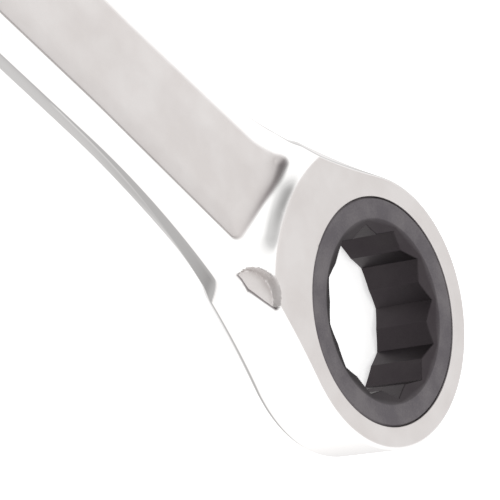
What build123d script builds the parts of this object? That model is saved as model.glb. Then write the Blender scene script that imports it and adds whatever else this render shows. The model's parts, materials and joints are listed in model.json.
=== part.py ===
from build123d import *
import os
from math import atan, cos, degrees, radians, sin

# A 21 mm ratcheting combination wrench, in millimetres.
# The origin is the centre of the ratcheting ring, +X runs along the shank to the
# open end and +Z is the ring's axis.

# Whole tool
drive_size = 21.0             # across flats of the nut, at both ends
overall_length = 275.0

# Ring head
head_radius = 19.25
head_thickness = 11.0
head_edge_chamfer = 0.4
face_reach = 23.7             # the ring's flat face ends here, on the neck side
neck_foot_radius = 26.6       # where the neck's hollow reaches the shank's face
neck_shoulder = (29.5, 3.5)   # radius and height of the shoulder beside the hollow
neck_reach = 60.0             # where the ring's forging runs out into the shank
hollow_half_angle = 15.0
neck_radius = 130.0           # plan radius that carries the ring into the shank

# Shank
shank_half_width = 8.7
shank_thickness = 6.4
parting_land = 0.6            # height of the trimmed edge left by the forging dies
bevel_inset = 0.6             # each long bevel narrows the face by this much
panel_depth = 0.45
panel_half_width = 6.7
panel_flare = 1.4             # extra half width, were the panel carried to the ring's centre
panel_corner = 1.8
panel_ring_reach = 27.2
panel_open_reach = 33.5
panel_waist_x = 58.0          # the flare ends here

# Thumb recess at a corner of the neck, on each face
recess_radius = 4.1
recess_centre = (23.3, 12.2, 4.2)
recess_edge = (0.967, -0.06, -0.25)
recess_normal = (0.25, -0.04, 0.967)

# Open end
open_thickness = 8.8
open_head_radius = 22.0
open_angle = 15.0
open_clearance = 0.1
open_nose = 14.8              # from the nut's centre to the flat tips
open_tip_lead = 18.31         # from the nut's centre to the end of the tool, along the shank
open_neck_radius = 40.0
open_reach = 29.5
open_edge_chamfer = 1.0
throat_depth = 11.7
throat_half_width = 5.1
throat_shoulder = 4.6
throat_radius = 2.0
tip_radius = 2.4

# Ratchet gear
gear_teeth = 72
gear_tip_radius = 16.66
gear_root_radius = 16.1
gear_top = 3.6
gear_bottom = -3.2
gear_face = 5.4
front_collar_radius = 16.0
back_collar_radius = 15.0
collar_chamfer = 0.25
socket_points = 12
socket_phase = 11.0
socket_clearance = 0.1
socket_tip_radius = drive_size / 2 / cos(radians(30)) + socket_clearance
socket_valley_radius = drive_size / 2 / cos(radians(15)) + socket_clearance
lead_in_radius = 13.0
lead_in_depth = 0.95

# Gear bore in the ring, bored from the back
lip_radius = 16.06
lip_bottom = 3.7
bore_radius = 16.75
groove_radius = 17.6
groove_bottom = -4.4
groove_top = -3.3

# Retaining ring
ring_thickness = 1.0
ring_outer_radius = groove_radius - 0.02
ring_inner_radius = 15.25
ring_gap = 5.0
ring_bottom = groove_bottom + 0.05

# Pawl, which slides in a pocket in the neck
slide_angle = 35.0            # sliding direction, from +X
pawl_start = 10.9             # along the slide, from the ring's centre
pawl_end = 16.5
pawl_back = 16.5              # square to the slide, from the ring's centre
pawl_front = 6.0
pawl_height = 6.0
pawl_travel = 1.0
pawl_clearance = 0.05
pocket_start_gap = 0.15
pocket_end_gap = 0.1
mesh_growth = 1.004           # the pawl's teeth clear the gear's by this factor
mesh_turn = 0.12              # and by this angle each way
seat_depth = 2.3

# Pawl spring
spring_hole_radius = 1.5
spring_hole_end = 24.0
spring_axis_back = (pawl_back + pawl_front) / 2
spring_mean_radius = 1.05
wire_radius = 0.2
spring_turns = 8
spring_end_gap = 0.05

# Worked out from the above
half_head = head_thickness / 2
half_shank = shank_thickness / 2
half_open = open_thickness / 2
bevel_height = half_shank - parting_land / 2
bevel_angle = degrees(atan(bevel_inset / bevel_height))
open_centre_x = overall_length - head_radius - open_tip_lead
jaw_half = drive_size / 2 + open_clearance / 2
far = 60.0                    # a length past every edge, for cutting tools
hollow_turn = radians(hollow_half_angle)
hollow_plane = Plane(
    origin=(0, 0, 0),
    x_dir=(cos(hollow_turn), -sin(hollow_turn), 0),
    z_dir=(-sin(hollow_turn), -cos(hollow_turn), 0),
)
slide_dir = Vector(cos(radians(slide_angle)), sin(radians(slide_angle)), 0)
back_dir = Vector(sin(radians(slide_angle)), -cos(radians(slide_angle)), 0)


def slide_point(along, back):
    """Point at a distance along the slide and a distance square to it."""
    return slide_dir * along + back_dir * back


def jaw_point(along, across):
    """Point in the open end, measured from the nut's centre along the jaw."""
    turn = radians(open_angle)
    x = open_centre_x + along * cos(turn) - across * sin(turn)
    return (x, along * sin(turn) + across * cos(turn))


def star_points(count, outer, inner, phase):
    """Points of a star with count tips, the first tip at the angle phase."""
    points = []
    for step in range(2 * count):
        radius = outer if step % 2 == 0 else inner
        angle = radians(phase + step * 180 / count)
        points.append((radius * cos(angle), radius * sin(angle)))
    return points


def gear_outline(growth, turn):
    """Points of the gear's teeth, grown by a factor and turned by an angle."""
    return star_points(gear_teeth, gear_tip_radius * growth, gear_root_radius * growth, turn)


# Plan outline of the whole forging, without the jaw
with BuildSketch() as plan_outline:
    Circle(head_radius)
    with Locations((open_centre_x / 2, 0)):
        Rectangle(open_centre_x, 2 * shank_half_width)
    with Locations((open_centre_x, 0)):
        Circle(open_head_radius)
    corners = plan_outline.vertices().filter_by(lambda v: abs(abs(v.Y) - shank_half_width) < 0.01)
    corners = corners.sort_by(Axis.X)
    fillet(corners[:2], neck_radius)
    corners = plan_outline.vertices().filter_by(lambda v: abs(abs(v.Y) - shank_half_width) < 0.01)
    fillet(corners.sort_by(Axis.X)[-2:], open_neck_radius)

# Shank, with a bevel above and below the parting line
with BuildPart() as shank_forging:
    with BuildSketch() as shank_plan:
        add(plan_outline.sketch)
        with Locations((open_centre_x + far - throat_depth - 4, 0)):
            Rectangle(2 * far, 2 * far, mode=Mode.SUBTRACT)
    extrude(amount=parting_land / 2)
    with BuildSketch(Plane.XY.offset(parting_land / 2)):
        add(shank_plan.sketch)
    extrude(amount=bevel_height, taper=bevel_angle)
    mirror(about=Plane.XY)

# Ring head, hollowed down to the shank at the neck
with BuildPart() as ring_forging:
    with BuildSketch():
        add(plan_outline.sketch)
        Circle(neck_reach, mode=Mode.INTERSECT)
    extrude(amount=half_head)
    chamfer(ring_forging.faces().sort_by(Axis.Z)[-1].edges(), head_edge_chamfer)
    with BuildSketch(Plane.XZ):
        with BuildLine():
            Polyline(
                (face_reach, half_head),
                neck_shoulder,
                (neck_reach, parting_land / 2),
                (neck_reach + 1, parting_land / 2),
                (neck_reach + 1, far),
                (face_reach, far),
                close=True,
            )
        make_face()
    revolve(axis=Axis.Z, mode=Mode.SUBTRACT)
    with BuildSketch(hollow_plane):
        with BuildLine():
            hollow = SagittaArc((face_reach, half_head), (neck_foot_radius, half_shank), -0.45)
            Polyline(hollow @ 1, (neck_reach, half_shank), (neck_reach, far), (face_reach, far))
            Line((face_reach, far), hollow @ 0)
        make_face()
    revolve(axis=Axis.Z, revolution_arc=2 * hollow_half_angle, mode=Mode.SUBTRACT)
    mirror(about=Plane.XY)

# Open end, with its jaw turned from the shank
with BuildPart() as open_forging:
    with BuildSketch(Plane.XY.offset(-half_open)) as open_plan:
        add(plan_outline.sketch)
        with Locations((open_centre_x, 0)):
            Circle(open_reach, mode=Mode.INTERSECT)
        with BuildLine():
            Polyline(
                jaw_point(open_nose, -far),
                jaw_point(open_nose, far),
                jaw_point(far, far),
                jaw_point(far, -far),
                close=True,
            )
        make_face(mode=Mode.SUBTRACT)
        with BuildLine():
            FilletPolyline(
                jaw_point(far, jaw_half),
                jaw_point(-throat_shoulder, jaw_half),
                jaw_point(-throat_depth, throat_half_width),
                jaw_point(-throat_depth, -throat_half_width),
                jaw_point(-throat_shoulder, -jaw_half),
                jaw_point(far, -jaw_half),
                close=True,
                radius=throat_radius,
            )
        make_face(mode=Mode.SUBTRACT)
        nose_line = Vector(cos(radians(open_angle)), sin(radians(open_angle)), 0)
        nose_at = open_centre_x * nose_line.X + open_nose
        tips = open_plan.vertices().filter_by(lambda v: Vector(v.X, v.Y).dot(nose_line) > nose_at - 0.01)
        fillet(tips, tip_radius)
    extrude(amount=open_thickness)
    flat_faces = open_forging.faces().filter_by(Axis.Z)
    chamfer(flat_faces.edges(), open_edge_chamfer)

with BuildPart() as wrench_body:
    add(shank_forging.part)
    add(ring_forging.part)
    add(open_forging.part)
    # Recessed panel along each side of the shank
    with BuildSketch(Plane.XY.offset(half_shank - panel_depth)) as panel_plan:
        with BuildLine():
            Polyline(
                (0, panel_half_width + panel_flare),
                (panel_waist_x, panel_half_width),
                (open_centre_x, panel_half_width),
                (open_centre_x, -panel_half_width),
                (panel_waist_x, -panel_half_width),
                (0, -panel_half_width - panel_flare),
                close=True,
            )
        make_face()
        Circle(panel_ring_reach, mode=Mode.SUBTRACT)
        with Locations((open_centre_x, 0)):
            Circle(panel_open_reach, mode=Mode.SUBTRACT)
        ends = panel_plan.vertices().sort_by(Axis.X)
        fillet(ends[:2] + ends[-2:], panel_corner)
    panel = extrude(amount=far, mode=Mode.PRIVATE)
    add(panel, mode=Mode.SUBTRACT)
    mirror(panel, about=Plane.XY, mode=Mode.SUBTRACT)
    # Half-moon recess at one corner of the neck, and again with the tool turned over
    recess_plane = Plane(origin=recess_centre, x_dir=recess_edge, z_dir=recess_normal)
    with BuildSketch(recess_plane):
        Circle(recess_radius)
        with Locations((0, recess_radius)):
            Rectangle(2 * recess_radius, 2 * recess_radius, mode=Mode.SUBTRACT)
    recess = extrude(amount=half_head, mode=Mode.PRIVATE)
    add(recess, mode=Mode.SUBTRACT)
    add(recess.rotate(Axis.X, 180), mode=Mode.SUBTRACT)
    # Stepped bore for the gear, with the groove for its retaining ring
    with BuildSketch(Plane.XZ):
        with BuildLine():
            Polyline(
                (0, -half_head - 1),
                (bore_radius, -half_head - 1),
                (bore_radius, groove_bottom),
                (groove_radius, groove_bottom),
                (groove_radius, groove_top),
                (bore_radius, groove_top),
                (bore_radius, lip_bottom),
                (lip_radius, lip_bottom),
                (lip_radius, half_head + 1),
                (0, half_head + 1),
                close=True,
            )
        make_face()
    revolve(axis=Axis.Z, mode=Mode.SUBTRACT)
    # Pocket for the pawl, open to the gear
    with BuildSketch(Plane.XY.offset(-pawl_height / 2 - pawl_clearance)):
        with BuildLine():
            Polyline(
                slide_point(pawl_start - pocket_start_gap, 0),
                slide_point(pawl_start - pocket_start_gap, pawl_back + pawl_clearance),
                slide_point(pawl_end + pawl_travel + pocket_end_gap, pawl_back + pawl_clearance),
                slide_point(pawl_end + pawl_travel + pocket_end_gap, pawl_front - pawl_clearance),
                slide_point(pawl_start, pawl_front - pawl_clearance),
                slide_point(pawl_start, 0),
                close=True,
            )
        make_face()
    extrude(amount=pawl_height + 2 * pawl_clearance, mode=Mode.SUBTRACT)
    # Blind hole for the spring
    with BuildSketch(Plane(origin=slide_point(pawl_end, spring_axis_back), z_dir=slide_dir)):
        Circle(spring_hole_radius)
    extrude(amount=spring_hole_end - pawl_end, mode=Mode.SUBTRACT)

wrench_body.part.label = "wrench_body"

# Ratchet gear: teeth outside, a twelve-point socket through it
with BuildPart() as ratchet_gear:
    with BuildSketch(Plane.XY.offset(gear_bottom)):
        with BuildLine():
            Polyline(*gear_outline(1, 0), close=True)
        make_face()
    extrude(amount=gear_top - gear_bottom)
    with BuildSketch(Plane.XY.offset(gear_top)):
        Circle(front_collar_radius)
    extrude(amount=gear_face - gear_top)
    with BuildSketch(Plane.XY.offset(-gear_face)):
        Circle(back_collar_radius)
    extrude(amount=gear_face + gear_bottom)
    rims = ratchet_gear.edges().filter_by(GeomType.CIRCLE).sort_by(Axis.Z)
    chamfer([rims[0], rims[-1]], collar_chamfer)
    with BuildSketch(Plane.XY.offset(-gear_face)):
        with BuildLine():
            Polyline(
                *star_points(socket_points, socket_tip_radius, socket_valley_radius, socket_phase),
                close=True,
            )
        make_face()
    extrude(amount=2 * gear_face, mode=Mode.SUBTRACT)
    with BuildSketch(Plane.XZ):
        with BuildLine():
            Polyline(
                (0, gear_face - lead_in_depth),
                (socket_valley_radius, gear_face - lead_in_depth),
                (lead_in_radius, gear_face),
                (lead_in_radius, gear_face + 1),
                (0, gear_face + 1),
                close=True,
            )
        make_face()
    lead_in = revolve(axis=Axis.Z, mode=Mode.PRIVATE)
    add(lead_in, mode=Mode.SUBTRACT)
    mirror(lead_in, about=Plane.XY, mode=Mode.SUBTRACT)

ratchet_gear.part.label = "ratchet_gear"

# Pawl: a toothed wedge with a seat for its spring
with BuildPart() as pawl:
    with BuildSketch(Plane.XY.offset(-pawl_height / 2)):
        with BuildLine():
            Polyline(
                slide_point(pawl_start, pawl_back),
                slide_point(pawl_end, pawl_back),
                slide_point(pawl_end, pawl_front),
                slide_point(pawl_start, pawl_front),
                close=True,
            )
        make_face()
        for turn in (-mesh_turn, mesh_turn):
            with BuildLine():
                Polyline(*gear_outline(mesh_growth, turn), close=True)
            make_face(mode=Mode.SUBTRACT)
    extrude(amount=pawl_height)
    with BuildSketch(Plane(origin=slide_point(pawl_end, spring_axis_back), z_dir=-slide_dir)):
        Circle(spring_hole_radius)
    extrude(amount=seat_depth, mode=Mode.SUBTRACT)

pawl.part.label = "pawl"

# Coil spring between the pawl's seat and the end of its hole
spring_start = pawl_end - seat_depth + wire_radius + spring_end_gap
spring_length = spring_hole_end - wire_radius - spring_end_gap - spring_start
with BuildPart() as pawl_spring:
    with BuildLine() as coil:
        Helix(
            pitch=spring_length / spring_turns,
            height=spring_length,
            radius=spring_mean_radius,
            center=slide_point(spring_start, spring_axis_back),
            direction=slide_dir,
        )
    with BuildSketch(Plane(origin=coil.line @ 0, z_dir=coil.line % 0)):
        Circle(wire_radius)
    sweep(path=coil.line, is_frenet=True)

pawl_spring.part.label = "pawl_spring"

# Split retaining ring behind the gear
with BuildPart() as retaining_ring:
    with BuildSketch(Plane.XY.offset(ring_bottom)):
        Circle(ring_outer_radius)
        Circle(ring_inner_radius, mode=Mode.SUBTRACT)
        with Locations((-ring_outer_radius, 0)):
            Rectangle(2 * (ring_outer_radius - ring_inner_radius) + 2, ring_gap, mode=Mode.SUBTRACT)
    extrude(amount=ring_thickness)

retaining_ring.part.label = "retaining_ring"

os.makedirs("parts", exist_ok=True)
for piece in (wrench_body, ratchet_gear, pawl, pawl_spring, retaining_ring):
    export_step(piece.part, f"parts/{piece.part.label}.step")
    print(piece.part.label, round(piece.part.volume, 1))
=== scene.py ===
import json
import math

import bmesh
import bpy
import numpy as np
from mathutils import Matrix, Vector


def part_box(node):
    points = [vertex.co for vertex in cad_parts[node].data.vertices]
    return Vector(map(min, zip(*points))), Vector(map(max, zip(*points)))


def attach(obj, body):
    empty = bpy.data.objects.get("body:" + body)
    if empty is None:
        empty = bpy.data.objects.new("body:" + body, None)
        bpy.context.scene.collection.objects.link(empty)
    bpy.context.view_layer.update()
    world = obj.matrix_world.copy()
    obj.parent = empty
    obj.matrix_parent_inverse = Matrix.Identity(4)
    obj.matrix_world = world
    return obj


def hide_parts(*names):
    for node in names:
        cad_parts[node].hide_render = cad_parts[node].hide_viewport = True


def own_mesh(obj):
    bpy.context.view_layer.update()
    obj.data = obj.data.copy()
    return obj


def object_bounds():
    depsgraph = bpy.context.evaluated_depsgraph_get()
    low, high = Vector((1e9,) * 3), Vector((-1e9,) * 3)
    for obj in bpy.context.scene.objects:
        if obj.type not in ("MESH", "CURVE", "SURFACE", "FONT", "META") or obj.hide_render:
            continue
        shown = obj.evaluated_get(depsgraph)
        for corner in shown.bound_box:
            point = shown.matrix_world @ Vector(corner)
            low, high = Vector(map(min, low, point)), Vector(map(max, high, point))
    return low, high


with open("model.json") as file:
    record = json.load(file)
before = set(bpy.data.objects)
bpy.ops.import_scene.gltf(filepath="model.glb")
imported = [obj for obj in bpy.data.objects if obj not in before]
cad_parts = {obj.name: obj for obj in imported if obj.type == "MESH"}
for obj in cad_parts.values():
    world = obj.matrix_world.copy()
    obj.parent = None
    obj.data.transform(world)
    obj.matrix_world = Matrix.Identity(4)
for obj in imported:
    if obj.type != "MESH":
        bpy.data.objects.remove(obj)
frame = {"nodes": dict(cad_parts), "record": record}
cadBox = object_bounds()
mm = 0.001                     # shapes are worked out in millimetres and stored in metres
print("frame loaded:", ", ".join(sorted(frame["nodes"])))


# ---------- small helpers for surfaces

def smooth(edge0, edge1, x):
    # smooth step from 0 at edge0 to 1 at edge1
    t = np.clip((x - edge0) / (edge1 - edge0), 0, 1)
    return t * t * (3 - 2 * t)


def softMin(a, b, radius):
    # the lower of two heights, with the corner between them rounded
    h = np.clip(0.5 + 0.5 * (b - a) / radius, 0, 1)
    return b + (a - b) * h - radius * h * (1 - h)


def arc(centre, radius, startAngle, endAngle, count=400):
    # points on a circle between two angles in degrees
    a = np.radians(np.linspace(startAngle, endAngle, count))
    return np.stack([centre[0] + radius * np.cos(a), centre[1] + radius * np.sin(a)], 1)


def line(start, end, count=60):
    t = np.linspace(0, 1, count)[:, None]
    return np.array(start) * (1 - t) + np.array(end) * t


def runAlong(path, fractions):
    # points at the given fractions of a path's length
    step = np.hypot(*np.diff(path, axis=0).T)
    length = np.concatenate([[0], np.cumsum(step)])
    at = np.asarray(fractions) * length[-1]
    return np.stack([np.interp(at, length, path[:, 0]), np.interp(at, length, path[:, 1])], 1)


def gridFaces(rows, columns, first=0, wrapRows=False, wrapColumns=False):
    # vertex numbers of the quads of a grid, whose rows or columns may close on themselves
    i = np.arange(rows if wrapRows else rows - 1)
    j = np.arange(columns if wrapColumns else columns - 1)
    a, b = np.meshgrid(i, j, indexing="ij")
    a2, b2 = (a + 1) % rows, (b + 1) % columns
    quads = np.stack([a * columns + b, a2 * columns + b, a2 * columns + b2, a * columns + b2], -1)
    return quads.reshape(-1, 4) + first


def makePiece(name, grids, sharpAngle=32, attributes=None, weld=0.002):
    # joins grids of points, each given as (points, wrapRows, wrapColumns), into one closed mesh
    points, faces, first = [], [], 0
    for grid, wrapRows, wrapColumns in grids:
        rows, columns = grid.shape[:2]
        points.append(grid.reshape(-1, 3))
        faces.append(gridFaces(rows, columns, first, wrapRows, wrapColumns))
        first += rows * columns
    points = np.concatenate(points) * mm
    mesh = bpy.data.meshes.new(name)
    mesh.from_pydata(points, [], np.concatenate(faces))
    for key, values in (attributes or {}).items():
        layer = mesh.attributes.new(key, "FLOAT", "POINT")
        layer.data.foreach_set("value", np.concatenate([v.ravel() for v in values]).astype(np.float32))
    work = bmesh.new()
    work.from_mesh(mesh)
    bmesh.ops.remove_doubles(work, verts=work.verts, dist=weld * mm)
    bmesh.ops.dissolve_degenerate(work, edges=work.edges, dist=weld * mm * 0.1)
    bmesh.ops.recalc_face_normals(work, faces=work.faces)
    openEdges = sum(len(e.link_faces) != 2 for e in work.edges)
    work.to_mesh(mesh)
    work.free()
    mesh.polygons.foreach_set("use_smooth", np.ones(len(mesh.polygons), bool))
    mesh.set_sharp_from_angle(angle=math.radians(sharpAngle))
    piece = bpy.data.objects.new(name, mesh)
    bpy.context.scene.collection.objects.link(piece)
    print(f"{name}: {len(mesh.polygons)} faces, {openEdges} open edges")
    return piece


# ---------- the forging: ring, neck, shank and open end

low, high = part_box("wrench_body")
jawMount = [m for m in frame["record"]["mounts"] if m["name"] == "open_jaw"][0]
forging = {
    "ringRadius": -low.x / mm,
    "halfHead": high.z / mm,
    "halfShank": 3.2,
    "halfWidth": 8.7,            # shank, at the parting line
    "neckRadius": 130.0,         # plan curve from the ring into the shank
    "draft": 0.14,               # lean of the forged sides, each way from the parting line
    "ringBevelSlope": 1.15,      # rise of the long bevels, beside the ring
    "shankBevelSlope": 4.2,      # and along the shank
    "partingHeight": 0.25,
    "crestStart": 72.0,          # where the sides' top edge starts to climb towards the ring
    "crestEnd": 8.0,
    "crestRise": 5.0,
    "crestPower": 1.645,
    "ringSideEnd": 27.3,         # the ring's own wall ends on a slanting line from here
    "ringSideLean": 0.85,
    "faceReach": 23.9,
    "footRadius": 26.3,
    "shoulderGrowth": 5.5,
    "edgeRound": 0.35,
    # painted shade where the leaning sides run out at the ring: its strength and how far it fades
    "paintedCornerShade": 0.5,
    "paintedCornerShadeReach": 3.0,
    "jawX": jawMount["pos_m"][0] / mm,
    "jawAngle": 15.0,
    "halfJaw": 4.4,
    "jawFaceReach": 26.5,
    "jawFaceRun": 5.0,
    "jawCrestRise": 4.2,
    "jawBlend": (-6, 18),        # where the shank turns into the jaw, from the end of the neck
    "jawHeadRadius": 22.0,
    "jawNeckRadius": 40.0,
    "jawNose": 14.8,
    "tipRadius": 2.4,
    "slotHalf": 10.55,
    "throatDepth": 11.7,
    "throatHalf": 5.1,
    "throatShoulder": 4.6,
    "throatRadius": 2.0,
    "lipRadius": 16.06,
    "lipBottom": 3.7,
    "boreRadius": 16.75,
    "grooveRadius": 17.6,
    "grooveBottom": -4.4,
    "grooveTop": -3.3,
    "boreBreak": 0.15,           # broken edge of the bore
    "slotBreak": 0.3,
}
panel = {
    "halfWidth": 6.75,
    "flare": 1.4,
    "flareEnd": 58.0,
    "farFlare": 1.5,             # the corner away from the recess spreads further
    "farFlareStart": 31.5,
    "ringEnd": 24.7,             # the end at the ring, and how it slants off to one side
    "ringEndSlant": 0.27,
    "ringEndTurn": -4.6,
    "jawReach": 33.5,
    "corner": 1.7,
    "wallDepth": 0.34,
    "wallWidth": 0.7,
    "endWallWidth": 1.25,        # the high wall at the ring end leans more
    "dishDepth": 0.3,
    "dishWidth": 3.6,
    "shadeWidth": 0.5,
}
moon = {"centre": (23.25, 12.3), "radius": 3.65, "chordSlant": -0.078, "edgeInset": 0.1, "floor": 3.6,
        "tiltX": -0.2585, "tiltY": 0.041, "wall": 0.4, "paintedShadeWidth": 0.5}

b = forging
neckX = math.sqrt((b["ringRadius"] + b["neckRadius"]) ** 2 - (b["halfWidth"] + b["neckRadius"]) ** 2)
neckCentre = np.array([neckX, b["halfWidth"] + b["neckRadius"]])
ringTangent = math.degrees(math.atan2(neckCentre[1], neckCentre[0]))
jawNeckRun = math.sqrt((b["jawHeadRadius"] + b["jawNeckRadius"]) ** 2
                       - (b["halfWidth"] + b["jawNeckRadius"]) ** 2)
jawNeckX = b["jawX"] - jawNeckRun
jawNeckCentre = np.array([jawNeckX, b["halfWidth"] + b["jawNeckRadius"]])
jawTangent = math.degrees(math.atan2(jawNeckCentre[1], -jawNeckRun))


def toJaw(x, y):
    # distances along and across the jaw, from the nut's centre
    c, s = math.cos(math.radians(b["jawAngle"])), math.sin(math.radians(b["jawAngle"]))
    dx = x - b["jawX"]
    return dx * c + y * s, y * c - dx * s


def fromJaw(points):
    c, s = math.cos(math.radians(b["jawAngle"])), math.sin(math.radians(b["jawAngle"]))
    points = np.asarray(points, float)
    return np.stack([b["jawX"] + points[:, 0] * c - points[:, 1] * s,
                     points[:, 0] * s + points[:, 1] * c], 1)


def edgeDistance(x, y):
    # how far a point lies inside the plan outline, which is made of tangent arcs and lines
    side = np.abs(y)
    ring = b["ringRadius"] - np.hypot(x, y)
    neck = np.hypot(x - neckCentre[0], side - neckCentre[1]) - b["neckRadius"]
    onRing = x * neckCentre[1] - side * neckCentre[0] < 0
    straight = b["halfWidth"] - side
    jawNeck = np.hypot(x - jawNeckCentre[0], side - jawNeckCentre[1]) - b["jawNeckRadius"]
    head = b["jawHeadRadius"] - np.hypot(x - b["jawX"], y)
    toHead = (x - b["jawX"]) * jawNeckCentre[1] + side * jawNeckRun > 0
    near = np.where(x > neckCentre[0], straight, np.where(onRing, ring, neck))
    far = np.where(toHead, head, jawNeck)
    along = toJaw(x, y)[0]
    nose = b["jawNose"] - along
    r = b["tipRadius"]
    corner = r - np.hypot(np.maximum(r - far, 0), np.maximum(r - nose, 0))
    tip = np.where((far < r) & (nose < r), corner, np.minimum(far, nose))
    return np.where(x > jawNeckX, np.where(toHead, tip, far), near)


def roundedInside(a, c, radius):
    # distance inside two crossing edges whose corner is rounded
    corner = radius - np.hypot(np.maximum(radius - a, 0), np.maximum(radius - c, 0))
    return np.where((a < radius) & (c < radius), corner, np.minimum(a, c))


def panelDistance(x, y):
    # how far a point lies inside the recessed panel of the shank, and the painted shade that darkens its
    # near side edge and its end at the ring
    p = panel
    half = p["halfWidth"] + p["flare"] * np.clip((p["flareEnd"] - x) / p["flareEnd"], 0, 1)
    spread = np.clip((p["farFlareStart"] - x) / 6, 0, 1.3) ** 1.5
    side = half + np.where(y < 0, p["farFlare"] * spread, 0) - np.abs(y)
    slant = p["ringEndSlant"] * np.logaddexp(0, (y - p["ringEndTurn"]) / 0.6) * 0.6
    ringEnd = x - p["ringEnd"] - slant
    jawEnd = np.where(x < b["jawX"], np.hypot(x - b["jawX"], y) - p["jawReach"], -p["jawReach"])
    within = np.minimum(roundedInside(side, ringEnd, p["corner"]), roundedInside(side, jawEnd, p["corner"]))
    # painted shade: darker along the panel's near side edge and at its end by the ring
    nearEdge = np.where(y > 0, np.exp(-np.maximum(side, 0) / p["shadeWidth"]), 0) * 0.55
    endEdge = np.exp(-np.maximum(ringEnd - 0.6, 0) / p["shadeWidth"]) * smooth(9, -4, y) * 0.8
    return within, np.maximum(nearEdge, endEdge) * smooth(-0.1, 0.4, within)


def moonCut(x, y, inside):
    # the half-moon recess: how far a point lies inside it, the height of its flat floor,
    # and a painted shade line along its straight edge, standing in for the shadow at the step there
    m = moon
    disc = m["radius"] - np.hypot(x - m["centre"][0], y - m["centre"][1])
    chord = m["centre"][1] + m["chordSlant"] * (x - m["centre"][0]) - y
    straight = np.minimum(chord, inside - m["edgeInset"])
    within = roundedInside(disc, straight, 0.25)
    floor = m["floor"] + m["tiltX"] * (x - m["centre"][0]) + m["tiltY"] * (y - m["centre"][1])
    # painted shade: a dark line just inside the straight edge
    paintedShade = smooth(m["paintedShadeWidth"], 0.2, straight) * smooth(-0.12, 0, straight) * smooth(-0.1, 0.15, disc)
    return within, floor, paintedShade


def onJaw(x):
    # 0 along the shank, rising to 1 on the jaw
    return smooth(jawNeckX + b["jawBlend"][0], jawNeckX + b["jawBlend"][1], x)


def crestHeight(x):
    # height of the top edge of the forging's sides, which climbs towards both heads
    climb = np.clip((b["crestStart"] - x) / (b["crestStart"] - b["crestEnd"]), 0, 1) ** b["crestPower"]
    return b["partingHeight"] + b["crestRise"] * climb + b["jawCrestRise"] * onJaw(x)


def sideInset(x, z):
    # how far the drafted sides lie in from the plan outline, at a height z; none on the ring and jaw
    ringSide = b["ringSideEnd"] - b["ringSideLean"] * np.abs(z)
    drafted = smooth(ringSide - 1.0, ringSide + 1.4, x) * smooth(jawNeckX + 10, jawNeckX - 6, x)
    return b["draft"] * np.abs(z) * drafted


def roundOff(distance, radius):
    # how far a rounded edge lies below its flat face, at a distance from the edge
    e = np.clip(distance, 0, radius)
    return radius - np.sqrt(np.maximum(radius ** 2 - (radius - e) ** 2, 0))


def topHeight(x, y, face, reach, innerBreak):
    # height of the upper face, how satin it is and how much painted shade it carries: ring face, neck
    # hollow, shank with its bevels and panel, and the raised jaw, each a formula of the place in plan;
    # the lower face (face -1) carries panel and half-moon turned over about the x axis
    crest = crestHeight(x)
    inside = np.maximum(edgeDistance(x, y) - sideInset(x, crest), 0)
    r = np.hypot(x, y)
    turn = np.degrees(np.abs(np.arctan2(y, np.maximum(x, 0.001))))
    spread = smooth(8, 27, turn)
    foot = b["footRadius"] + b["shoulderGrowth"] * spread
    fall = (r - b["faceReach"]) / (foot - b["faceReach"])
    fall = np.clip((fall + np.sqrt(fall ** 2 + 0.004)) / 2 - 0.005, 0, 1)
    fall = np.where(x > 0, fall, 0)
    step = b["halfHead"] - b["halfShank"]
    ringLevel = b["halfShank"] + step * (1 - fall) ** (2.1 - 0.85 * spread)
    jawR = np.hypot(x - b["jawX"], y)
    jawFall = np.where(x < b["jawX"], np.clip((jawR - b["jawFaceReach"]) / b["jawFaceRun"], 0, 1), 0)
    jawLevel = b["halfShank"] + (b["halfJaw"] - b["halfShank"]) * (1 - smooth(0, 1, jawFall))
    level = np.maximum(ringLevel, jawLevel)
    bevelSlope = b["ringBevelSlope"] + (b["shankBevelSlope"] - b["ringBevelSlope"]) * smooth(28, 46, x)
    bevel = crest + bevelSlope * inside
    z = softMin(level, bevel, 0.2)
    s, paintedShade = panelDistance(x, y * face)
    dish = panel["dishDepth"] * smooth(0, 1, s / panel["dishWidth"])
    lean = panel["wallWidth"] + (panel["endWallWidth"] - panel["wallWidth"]) * smooth(30, 27, x)
    wall = smooth(-0.08, 1, s / lean) * smooth(-0.08, 0.1, s)
    floor = b["halfShank"] - panel["wallDepth"] - dish
    z = z - np.maximum(z - floor, 0) * wall
    m, moonFloor, moonPaintedShade = moonCut(x, y * face, inside)
    # painted shade from the panel edges and the half-moon's straight edge
    paintedShade = np.maximum(paintedShade, moonPaintedShade)
    z = z - np.maximum(z - moonFloor, 0) * smooth(0, moon["wall"], m)
    # rounded outer edge, and broken edges at the bore and the slot
    jawPart = onJaw(x)
    edge = 0.12 + (b["edgeRound"] - 0.12) * np.maximum(smooth(24, 8, x), jawPart) + 0.6 * jawPart
    z = z - roundOff(inside, edge) - roundOff(reach, np.maximum(innerBreak, 1e-6))
    flat = smooth(0.05, 0.3, bevel - level) * smooth(0.2, 0.4, inside)
    ringFace = flat * smooth(b["faceReach"] + 0.12, b["faceReach"] - 0.12, r)
    jawFace = smooth(0.9, 1.1, inside) * smooth(b["jawFaceReach"] + 0.3, b["jawFaceReach"] - 0.1, jawR)
    satin = np.maximum.reduce([ringFace, jawFace, smooth(-0.05, 0.5, s), smooth(-0.05, 0.35, m)])
    return z, satin, paintedShade


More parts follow.
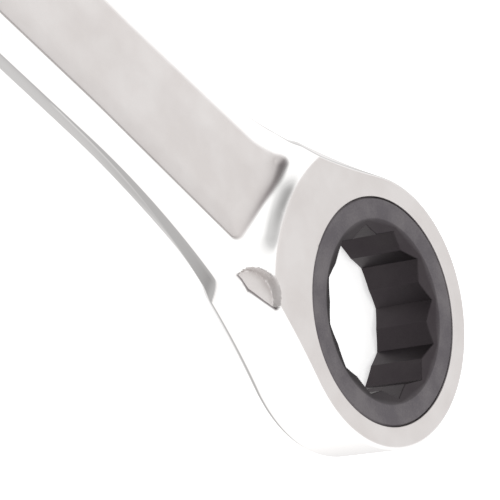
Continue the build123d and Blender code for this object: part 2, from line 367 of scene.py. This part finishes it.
def forgingLines(side):
    # matching points along the outline and along the inner line (bore, middle of the
    # shank, throat and slot); side is 1 or -1, and the stages share their ends
    ringArc = arc((0, 0), b["ringRadius"], 180, ringTangent)
    neckArc = arc(neckCentre, b["neckRadius"], ringTangent + 180, 270, 2000)
    stops = [int(np.argmin(np.abs(neckArc[:, 0] - x))) for x in (19.3, 30.0, 38.0)]
    shoulderAngle = math.degrees(math.atan2(neckArc[stops[0], 1], neckArc[stops[0], 0]))
    jawNeckArc = arc(jawNeckCentre, b["jawNeckRadius"], 270, jawTangent + 180)
    # outside of the finger, in jaw coordinates, out to the middle of its nose
    tip, nose = b["tipRadius"], b["jawNose"]
    outerFillet = (nose - tip, math.sqrt((b["jawHeadRadius"] - tip) ** 2 - (nose - tip) ** 2))
    innerFillet = (nose - tip, b["slotHalf"] + tip)
    noseMiddle = (nose, (outerFillet[1] + innerFillet[1]) / 2)
    filletAngle = math.degrees(math.atan2(outerFillet[1], outerFillet[0]))
    fingerOut = np.concatenate([
        arc((0, 0), b["jawHeadRadius"], jawTangent - side * b["jawAngle"], filletAngle),
        arc(outerFillet, tip, filletAngle, 0)[1:],
        line((nose, outerFillet[1]), noseMiddle)[1:],
    ])
    # throat and slot, with the corners of the throat rounded between their edges
    back = np.array([-b["throatDepth"], b["throatHalf"]])
    shoulder = np.array([-b["throatShoulder"], b["slotHalf"]])
    slant = (shoulder - back) / np.hypot(*(shoulder - back))
    r = b["throatRadius"]
    cut1, cut2 = r * math.tan(math.acos(slant[1]) / 2), r * math.tan(math.acos(slant[0]) / 2)
    slantNormal = 90 + math.degrees(math.atan2(slant[1], slant[0]))
    fingerIn = np.concatenate([
        line((-b["throatDepth"], 0), (-b["throatDepth"], b["throatHalf"] - cut1)),
        arc((-b["throatDepth"] + r, b["throatHalf"] - cut1), r, 180, slantNormal)[1:],
        line(back + slant * cut1, shoulder - slant * cut2)[1:],
        arc((-b["throatShoulder"] + cut2, b["slotHalf"] - r), r, slantNormal, 90)[1:],
        line((-b["throatShoulder"] + cut2, b["slotHalf"]), (nose - tip, b["slotHalf"]))[1:],
        arc(innerFillet, tip, 270, 360)[1:],
        line((nose, innerFillet[1]), noseMiddle)[1:],
    ])
    flip = np.array([1, side])
    fingerOut, fingerIn = fromJaw(fingerOut * flip), fromJaw(fingerIn * flip)
    outline = [ringArc, neckArc[:stops[0] + 1], neckArc[stops[0]:stops[1] + 1],
               neckArc[stops[1]:stops[2] + 1], neckArc[stops[2]:],
               line(neckArc[-1], (jawNeckX, b["halfWidth"])), jawNeckArc]
    outline = [stage * flip for stage in outline] + [fingerOut]
    angles = [180, ringTangent, shoulderAngle, 0]
    webX = 31.0                   # the lines across stop fanning out here
    outer, inner = [], {b["lipRadius"]: [], b["boreRadius"]: []}
    for k, count in enumerate(forgingRows):
        t = np.linspace(0, 1, count + 1)[(0 if k == 0 else 1):]
        outer.append(runAlong(outline[k], t))
        for radius, into in inner.items():
            if k < 3:
                path = arc((0, 0), radius, angles[k], angles[k + 1]) * flip
            else:
                ends = [(radius, 0), (webX, 0), (neckX, 0), (jawNeckX, 0), fingerIn[0]]
                path = fingerIn if k == 7 else line(ends[k - 3], ends[k - 2])
            into.append(runAlong(path, t))
    return np.concatenate(outer), [np.concatenate(lines) for lines in inner.values()]


def acrossFractions(outer, inner, face, reachScale, innerBreak):
    # fractions from the outline (0) to the inner line (1), closer together where the
    # profile turns; each row's columns share out the sum of its turning and its width
    u = np.linspace(0, 1, 900)
    width = np.maximum(np.hypot(*(outer - inner).T), 1e-4)[:, None]
    x = outer[:, :1] * (1 - u) + inner[:, :1] * u
    y = outer[:, 1:] * (1 - u) + inner[:, 1:] * u
    z, satin = topHeight(x, y, face, (1 - u) * width + reachScale, innerBreak)[:2]
    slope = np.arctan(np.diff(z, axis=1) / (width * u[1]))
    turning = np.minimum(np.abs(np.diff(slope, axis=1)), 0.03) * 0.5
    turning = turning + np.abs(np.diff(satin, axis=1))[:, 1:] * 0.06
    density = np.ones_like(z) / len(u)
    density[:, 1:-1] += turning
    blurRows, blurColumns = 3, 5
    kernel = np.ones(blurColumns) / blurColumns
    for _ in range(2):
        padded = np.pad(density, ((blurRows, blurRows), (blurColumns // 2,) * 2), mode="edge")
        total = np.cumsum(np.pad(padded, ((1, 0), (0, 0))), axis=0)
        padded = (total[2 * blurRows + 1:] - total[:-2 * blurRows - 1]) / (2 * blurRows + 1)
        density = sum(padded[:, i:i + len(u)] * kernel[i] for i in range(blurColumns))
    share = np.cumsum(density, axis=1)
    share = (share - share[:, :1]) / (share[:, -1:] - share[:, :1])
    wanted = np.linspace(0, 1, forgingColumns + 1)
    return np.stack([np.interp(wanted, row, u) for row in share])


def inwardNormal(outer, side):
    # direction square to the outline, pointing into the metal
    along = np.gradient(outer, axis=0)
    along /= np.maximum(np.hypot(*along.T), 1e-9)[:, None]
    return np.stack([along[:, 1], -along[:, 0]], 1) * side


forgingRows = [66, 24, 50, 64, 24, 60, 34, 84]
forgingColumns = 46


def makeForging():
    grids, satins, paintedShades = [], [], []

    def add(points, satin, paintedShade=None):
        grids.append((points, False, False))
        satins.append(satin)
        paintedShades.append(np.zeros(satin.shape) if paintedShade is None else paintedShade)

    boreEnd, slotStart = sum(forgingRows[:3]) + 1, sum(forgingRows[:7])
    half = np.array([1, 0.95, 0.82, 0.66, 0.5, 0.34, 0.18, 0.06])
    downWall = np.concatenate([half, [0], -half[::-1]])

    def wallHeights(upper, lower):
        return np.where(downWall > 0, upper[:, None], lower[:, None]) * downWall

    for side in (1, -1):
        outer, inners = forgingLines(side)
        row = np.arange(len(outer))[:, None]
        onBore, onSlot = row < boreEnd, row >= slotStart
        innerBreak = np.where(onBore, b["boreBreak"], b["slotBreak"])
        # away from bore and slot the inner line is no edge, so its distance never counts
        farAway = np.where(onBore | onSlot, 0, 9.0)
        rims = []
        inward = inwardNormal(outer, side)
        crest = crestHeight(outer[:, 0])
        rim = outer + inward * sideInset(outer[:, 0], crest)[:, None]
        for face, inner in zip((1, -1), inners):
            f = acrossFractions(rim, inner, face, farAway, innerBreak)[..., None]
            plan = rim[:, None, :] * (1 - f) + inner[:, None, :] * f
            reach = np.hypot(*(rim - inner).T)[:, None] * (1 - f[..., 0]) + farAway
            z, satin, paintedShade = topHeight(plan[..., 0], plan[..., 1], face, reach, innerBreak)
            rims.append((z[:, 0], z[:, -1]))
            add(np.concatenate([plan, face * z[..., None]], -1), satin, paintedShade)
        heights = wallHeights(rims[0][0], rims[1][0])
        inset = sideInset(outer[:, :1], heights)
        inset[:, [0, -1]] = sideInset(outer[:, 0], crest)[:, None]
        wall = outer[:, None, :] + inward[:, None, :] * inset[..., None]
        # painted shade where the leaning side runs out against the ring's own wall, on one half of each
        # side
        past = outer[:, :1] - b["ringSideEnd"] + b["ringSideLean"] * np.abs(heights)
        fading = np.exp(-np.maximum(past, 0) / b["paintedCornerShadeReach"]) * smooth(-0.6, 1, past)
        paintedCornerShade = b["paintedCornerShade"] * fading * smooth(0, -1, heights * side)
        add(np.concatenate([wall, heights[..., None]], -1), np.zeros(heights.shape), paintedCornerShade)
        # stepped bore: lip, gear bore and groove
        angle = np.arctan2(inners[0][:boreEnd, 1], inners[0][:boreEnd, 0])
        lip, bore, groove = b["lipRadius"], b["boreRadius"], b["grooveRadius"]
        heights = [rims[0][1][:boreEnd], 4.6, b["lipBottom"], b["lipBottom"], 1.2, -1.2, b["grooveTop"],
                   b["grooveTop"], b["grooveBottom"], b["grooveBottom"], -rims[1][1][:boreEnd]]
        radii = [lip, lip, lip, bore, bore, bore, bore, groove, groove, bore, bore]
        rings = [np.stack([radius * np.cos(angle), radius * np.sin(angle), angle * 0 + height], -1)
                 for radius, height in zip(radii, heights)]
        add(np.stack(rings, 1), np.full((boreEnd, len(rings)), 0.5))
        # walls of the slot
        slot = np.repeat(inners[0][slotStart:, None, :], len(downWall), 1)
        heights = wallHeights(rims[0][1][slotStart:], rims[1][1][slotStart:])
        add(np.concatenate([slot, heights[..., None]], -1), np.full(slot.shape[:2], 0.1))
    # the satin finish and the painted shade go to the mesh as point attributes
    return makePiece("forgedBody", grids, 34, {"satin": satins, "paintedShade": paintedShades})


# ---------- ratchet gear with its twelve-point socket

gear = {
    "teeth": 72,
    "toothTip": 16.66,
    "toothRoot": 16.1,
    "teethTop": 3.6,
    "teethBottom": -3.2,
    "frontCollar": 16.0,
    "backCollar": 15.0,
    "collarChamfer": 0.25,
    "points": 12,
    "pointPhase": 11.0,
    "pointTip": 12.224,
    "pointValley": 10.97,
    "leadInRadius": 13.0,
    "leadInDepth": 0.95,
    "cornerBreak": 0.08,
}


def starRadius(angle, count, outer, inner, phase):
    # distance to a star's outline: each side is a straight line from tip to valley
    half = math.pi / count
    a = np.abs((angle - math.radians(phase) + half) % (2 * half) - half)
    return outer * inner * math.sin(half) / (outer * np.sin(a) + inner * np.sin(half - a))


def makeGear():
    g = gear
    angle = np.radians(np.arange(0, 360, 0.5))
    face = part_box("ratchet_gear")[1].z / mm
    tooth = starRadius(angle, g["teeth"], g["toothTip"], g["toothRoot"], 0)
    star = starRadius(angle, g["points"], g["pointTip"], g["pointValley"], g["pointPhase"])
    lead, collar = g["leadInRadius"], g["frontCollar"]
    slope = g["leadInDepth"] / (lead - g["pointValley"])
    mouth = face - (lead - star) * slope
    c, k = g["collarChamfer"], g["cornerBreak"]
    flat = np.ones_like(angle)
    profile = [(tooth, g["teethTop"] * flat), (collar * flat, g["teethTop"] * flat),
               (collar * flat, (face - c) * flat), ((collar - c) * flat, face * flat)]
    for part in (0.3, 0.7):
        radius = collar - c + (lead + k - collar + c) * part
        profile.append((radius * flat, face * flat))
    profile += [((lead + k) * flat, face * flat), ((lead - k) * flat, (face - k * slope) * flat)]
    for part in (0.35, 0.7):
        radius = lead - k + (star + k - lead + k) * part
        profile.append((radius, face - (lead - radius) * slope))
    profile += [(star + k, mouth + k * slope), (star, mouth - k)]
    profile += [(star, (mouth - k) * part) for part in (0.6, 0.2, -0.2, -0.6)]
    profile += [(star, k - mouth), (star + k, -mouth - k * slope)]
    profile += [((lead - k) * flat, (k * slope - face) * flat), ((lead + k) * flat, -face * flat),
                ((g["backCollar"] - c) * flat, -face * flat), (g["backCollar"] * flat, (c - face) * flat),
                (g["backCollar"] * flat, g["teethBottom"] * flat), (tooth, g["teethBottom"] * flat)]
    radius = np.stack([p[0] for p in profile], 1)
    height = np.stack([p[1] for p in profile], 1)
    grid = np.stack([radius * np.cos(angle)[:, None], radius * np.sin(angle)[:, None], height], -1)
    # mask of the painted shade inside the socket
    paintedSocketShade = np.clip((lead + 0.1 - radius) / 0.3, 0, 1)
    return makePiece("toothedGear", [(grid, True, True)], 25, {"paintedSocketShade": [paintedSocketShade]})


# ---------- coil spring behind the pawl

coil = {"meanRadius": 1.05, "wireRadius": 0.2, "turns": 8, "start": 14.45, "end": 23.75, "back": 11.25,
        "slideAngle": 35.0, "bunching": 0.055}


def makeCoil():
    # a round wire carried along a helix whose pitch closes up at both ends
    c = coil
    t = np.linspace(0, 1, 360)
    turnsDone = t * c["turns"]
    a = 2 * math.pi * turnsDone
    along = c["start"] + (c["end"] - c["start"]) * (t + c["bunching"] * np.sin(2 * math.pi * t))
    slide = np.array([math.cos(math.radians(c["slideAngle"])), math.sin(math.radians(c["slideAngle"])), 0])
    across = np.array([slide[1], -slide[0], 0])
    up = np.array([0, 0, 1.0])
    radial = np.cos(a)[:, None] * up + np.sin(a)[:, None] * across
    centre = along[:, None] * slide + c["back"] * across + c["meanRadius"] * radial
    tangent = np.gradient(centre, axis=0)
    tangent /= np.linalg.norm(tangent, axis=1)[:, None]
    side = np.cross(tangent, radial)
    w = np.linspace(0, 2 * math.pi, 14, endpoint=False)
    tube = (centre[:, None] + c["wireRadius"] * (np.cos(w)[None, :, None] * radial[:, None]
                                                 + np.sin(w)[None, :, None] * side[:, None]))
    caps = [np.stack([tube[i], np.repeat(centre[i][None], len(w), 0)]) for i in (0, -1)]
    grids = [(grid, False, True) for grid in [tube] + caps]
    return makePiece("coilSpring", grids, 40)


body = makeForging()
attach(body, "wrench")
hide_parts("wrench_body")
toothed = makeGear()
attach(toothed, "gear")
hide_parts("ratchet_gear")
spring = makeCoil()
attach(spring, "wrench")
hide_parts("pawl_spring")
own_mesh(spring)


# ---------- finishes

class Wire:
    # a value travelling between shader nodes; arithmetic on it adds Math nodes

    def __init__(self, finish, socket):
        self.finish, self.socket = finish, socket

    def math(self, operation, first, second=None):
        values = {0: first} if second is None else {0: first, 1: second}
        return self.finish.node("Math", {"operation": operation}, values)

    def __add__(self, other):
        return self.math("ADD", self, other)

    def __sub__(self, other):
        return self.math("SUBTRACT", self, other)

    def __mul__(self, other):
        return self.math("MULTIPLY", self, other)

    def __truediv__(self, other):
        return self.math("DIVIDE", self, other)

    def __rsub__(self, other):
        return self.math("SUBTRACT", other, self)

    __radd__, __rmul__ = __add__, __mul__


class Finish:
    # a material being put together; node() adds any node and gives back one of its outputs

    def __init__(self, owner):
        self.owner = owner
        owner.use_nodes = True
        self.tree = owner.node_tree
        self.tree.nodes.clear()

    def node(self, kind, settings=None, values=None, output=0):
        made = self.tree.nodes.new("ShaderNode" + kind)
        for key, value in (settings or {}).items():
            setattr(made, key, value)
        for key, value in (values or {}).items():
            if isinstance(value, Wire):
                self.tree.links.new(value.socket, made.inputs[key])
            else:
                made.inputs[key].default_value = value
        return None if output is None else Wire(self, made.outputs[output])

    def place(self, scale=(1, 1, 1)):
        at = self.node("TexCoord", output="Object")
        return self.node("Mapping", values={"Vector": at, "Scale": scale})

    def noise(self, at, size, detail=2.0, rough=0.5):
        # cloudy value from 0 to 1 whose patches are about size metres across
        values = {"Vector": at, "Scale": 1 / size, "Detail": detail, "Roughness": rough}
        return self.node("TexNoise", values=values)

    def ramp(self, value, low, high, toLow=0.0, toHigh=1.0):
        return self.node("MapRange", {"clamp": True}, {0: value, 1: low, 2: high, 3: toLow, 4: toHigh})

    def blend(self, factor, first, second):
        return self.node("Mix", {"data_type": "RGBA"}, {0: factor, 6: first, 7: second}, output=2)

    def steel(self, colour, roughness, bumps=None, **fixed):
        values = {"Base Color": colour, "Roughness": roughness, "Metallic": 1.0}
        if bumps is not None:
            values["Normal"] = bumps
        shader = self.node("BsdfPrincipled", values={**values, **fixed})
        return self.show(shader)

    def show(self, shader, kind="OutputMaterial"):
        self.node(kind, values={"Surface": shader}, output=None)
        return self.owner


chrome = {
    "polished": (0.93, 0.925, 0.92, 1),
    "satin": (0.615, 0.585, 0.575, 1),
    "satinPale": (0.665, 0.64, 0.632, 1),
    "polishedRoughness": 0.07,
    "satinRoughness": 0.42,
    "grainSize": 0.00022,
    "cloudSize": 0.006,
    "paintedShadeColour": (0.1, 0.08, 0.085, 1),    # painted shade: near-black colour along the recess edges and where the sides run out at the ring
    "paintedShadeDepth": 0.85,
}


def chromeFinish():
    f, c = Finish(bpy.data.materials.new("chromedSteel")), chrome
    at = f.place()
    satin = f.node("Attribute", {"attribute_name": "satin"}, output="Fac")
    clouds = f.noise(at, c["cloudSize"], 3)
    grain = f.noise(at, c["grainSize"], 2, 0.6)
    swirl = f.noise(at, 0.02, 1)
    satinColour = f.blend(f.ramp(clouds, 0.35, 0.65), c["satin"], c["satinPale"])
    # painted shade: a near-black colour blended in where the attribute says, along recess edges and wall
    # corners
    paintedShade = f.node("Attribute", {"attribute_name": "paintedShade"}, output="Fac")
    colour = f.blend(paintedShade * c["paintedShadeDepth"], f.blend(satin, c["polished"], satinColour), c["paintedShadeColour"])
    satinRough = c["satinRoughness"] + (grain - 0.5) * 0.16 + (clouds - 0.5) * 0.12
    polishedRough = c["polishedRoughness"] + (clouds - 0.5) * 0.05
    roughness = polishedRough + (satinRough - polishedRough) * satin
    height = grain * satin * 0.35 + swirl * 0.6
    bumps = f.node("Bump", values={"Height": height, "Strength": 0.25, "Distance": 0.00005})
    return f.steel(colour, roughness, bumps)


blacked = {
    "deep": (0.115, 0.105, 0.115, 1),
    "worn": (0.17, 0.158, 0.165, 1),
    # the bore colour is painted shade: near black inside the socket
    "bore": (0.03, 0.024, 0.027, 1),
    "roughness": 0.46,
    "grainSize": 0.00025,
}


def blackFinish():
    f, c = Finish(bpy.data.materials.new("blackenedSteel")), blacked
    at = f.place()
    clouds = f.noise(at, 0.004, 3)
    grain = f.noise(at, c["grainSize"], 3, 0.6)
    worn = f.blend(f.ramp(clouds * 0.6 + grain * 0.4, 0.4, 0.62), c["deep"], c["worn"])
    # painted shade: the inside of the socket is darkened towards the bore colour
    paintedSocketShade = f.node("Attribute", {"attribute_name": "paintedSocketShade"}, output="Fac")
    colour = f.blend(paintedSocketShade * 0.8, worn, c["bore"])
    roughness = c["roughness"] + (grain - 0.5) * 0.2 + (clouds - 0.5) * 0.1
    bumps = f.node("Bump", values={"Height": grain, "Strength": 0.3, "Distance": 0.00006})
    return f.steel(colour, roughness, bumps)


def plainFinish(name, dark, light, rough, stretch):
    # machined steel: streaks drawn out along one axis, with a cloudy tint
    f = Finish(bpy.data.materials.new(name))
    at = f.place(stretch)
    streaks = f.noise(at, 0.0004, 3, 0.6)
    clouds = f.noise(f.place(), 0.003, 2)
    colour = f.blend(f.ramp(streaks * 0.5 + clouds * 0.5, 0.38, 0.62), dark, light)
    bumps = f.node("Bump", values={"Height": streaks, "Strength": 0.25, "Distance": 0.00004})
    return f.steel(colour, rough + (streaks - 0.5) * 0.2, bumps)


def dress(piece, material):
    piece.data.materials.clear()
    piece.data.materials.append(material)


dress(body, chromeFinish())
dress(toothed, blackFinish())
dress(spring, plainFinish("springSteel", (0.42, 0.42, 0.43, 1), (0.6, 0.6, 0.6, 1), 0.28, (1, 1, 1)))
for node, material in (
    ("pawl", plainFinish("hardenedSteel", (0.26, 0.25, 0.24, 1), (0.4, 0.39, 0.37, 1), 0.34, (1, 1, 0.1))),
    ("retaining_ring", plainFinish("phosphatedSteel", (0.09, 0.09, 0.095, 1), (0.17, 0.17, 0.165, 1), 0.55,
                                   (1, 1, 1))),
):
    part = frame["nodes"][node]
    if not part.material_slots:
        part.data.materials.append(material)
    for place in part.material_slots:
        place.link = "OBJECT"
        place.material = material


# ---------- floor, light and camera

studio = {
    "floorSize": 5.0,
    "floorColour": (0.86, 0.86, 0.86, 1),
    "floorPale": (0.9, 0.9, 0.9, 1),
    "floorGlow": 0.62,
    "skyStrength": 1.12,
    "belowStart": -0.66,         # looking down this steeply the room starts to darken
    "belowEnd": -0.715,
    "belowFade": -0.3,
    "belowFull": 0.33,
    "belowDark": 0.55,
    "wallDark": 0.4,
    "sideDark": 0.38,
    "awayFrom": (-0.59, -0.51, -0.627),   # the patch straight opposite the camera, softly darker
    "awayDark": 0.22,
    "overhead": 0.12,
    "lowTint": (1.0, 0.985, 0.98, 1),
    "highTint": (1.0, 0.995, 0.99, 1),
    "target": (0.0228, 0.0042, 0.0),
    "azimuth": 130.8,
    "elevation": 38.8,
    "distance": 0.333,
    "roll": 79.4,
    "lens": 180,
}


def makeFloor():
    # a large square of pale floor with a little light of its own; the steel mirrors the
    # sky below it instead of the floor, so its underside stays readable
    size, height = studio["floorSize"], cadBox[0].z
    mesh = bpy.data.meshes.new("floor")
    corners = [(-size, -size), (size, -size), (size, size), (-size, size)]
    mesh.from_pydata([(x, y, height) for x, y in corners], [], [(0, 1, 2, 3)])
    floor = bpy.data.objects.new("floor", mesh)
    bpy.context.scene.collection.objects.link(floor)
    f = Finish(bpy.data.materials.new("floorPaint"))
    colour = f.blend(f.noise(f.place(), 0.4, 2), studio["floorColour"], studio["floorPale"])
    values = {"Base Color": colour, "Roughness": 0.8, "Specular IOR Level": 0.0,
              "Emission Color": (1, 1, 1, 1), "Emission Strength": studio["floorGlow"]}
    mesh.materials.append(f.show(f.node("BsdfPrincipled", values=values)))
    floor.visible_glossy = False


def makeSky():
    # a white room: grey low down beneath the work, and darker strips along two of its walls
    f, c = Finish(bpy.data.worlds.new("studioRoom")), studio
    bpy.context.scene.world = f.owner
    towards = f.node("TexCoord", output="Generated")
    x, y, z = (f.node("SeparateXYZ", values={"Vector": towards}, output=k) for k in "XYZ")
    below = f.ramp(z, c["belowStart"], c["belowEnd"]) * f.ramp(y, c["belowFade"], c["belowFull"])
    wall = f.ramp(y, -0.15, -0.5) * f.ramp(z, -0.4, -0.2) * f.ramp(z, 0.45, 0.1)
    side = f.ramp(x, 0.2, 0.75) * f.ramp(z, -0.3, -0.1) * f.ramp(z, 0.85, 0.5)
    light = 1 - below * c["belowDark"] - wall * c["wallDark"] - side * c["sideDark"]
    away = x * c["awayFrom"][0] + y * c["awayFrom"][1] + z * c["awayFrom"][2]
    light = light - f.ramp(away, 0.72, 1.0) * c["awayDark"] + f.ramp(z, 0.45, 0.95) * c["overhead"]
    tint = f.blend(f.ramp(z, -0.2, 0.5), c["lowTint"], c["highTint"])
    glow = f.node("Background", values={"Color": tint, "Strength": light * c["skyStrength"]})
    f.show(glow, "OutputWorld")


def makeCamera():
    data = bpy.data.cameras.new("camera")
    camera = bpy.data.objects.new("camera", data)
    bpy.context.scene.collection.objects.link(camera)
    az, el = math.radians(studio["azimuth"]), math.radians(studio["elevation"])
    back = Vector((math.sin(az) * math.cos(el), -math.cos(az) * math.cos(el), math.sin(el)))
    camera.location = Vector(studio["target"]) + back * studio["distance"]
    roll = Matrix.Rotation(math.radians(studio["roll"]), 3, "Z")
    turned = back.to_track_quat("Z", "Y").to_matrix() @ roll
    camera.rotation_euler = turned.to_euler()
    data.lens = studio["lens"]
    data.sensor_width = 36
    data.clip_start, data.clip_end = 0.01, 20
    bpy.context.scene.camera = camera


makeFloor()
makeSky()
makeCamera()
bpy.context.scene.view_settings.view_transform = "Standard"
print("studio ready")
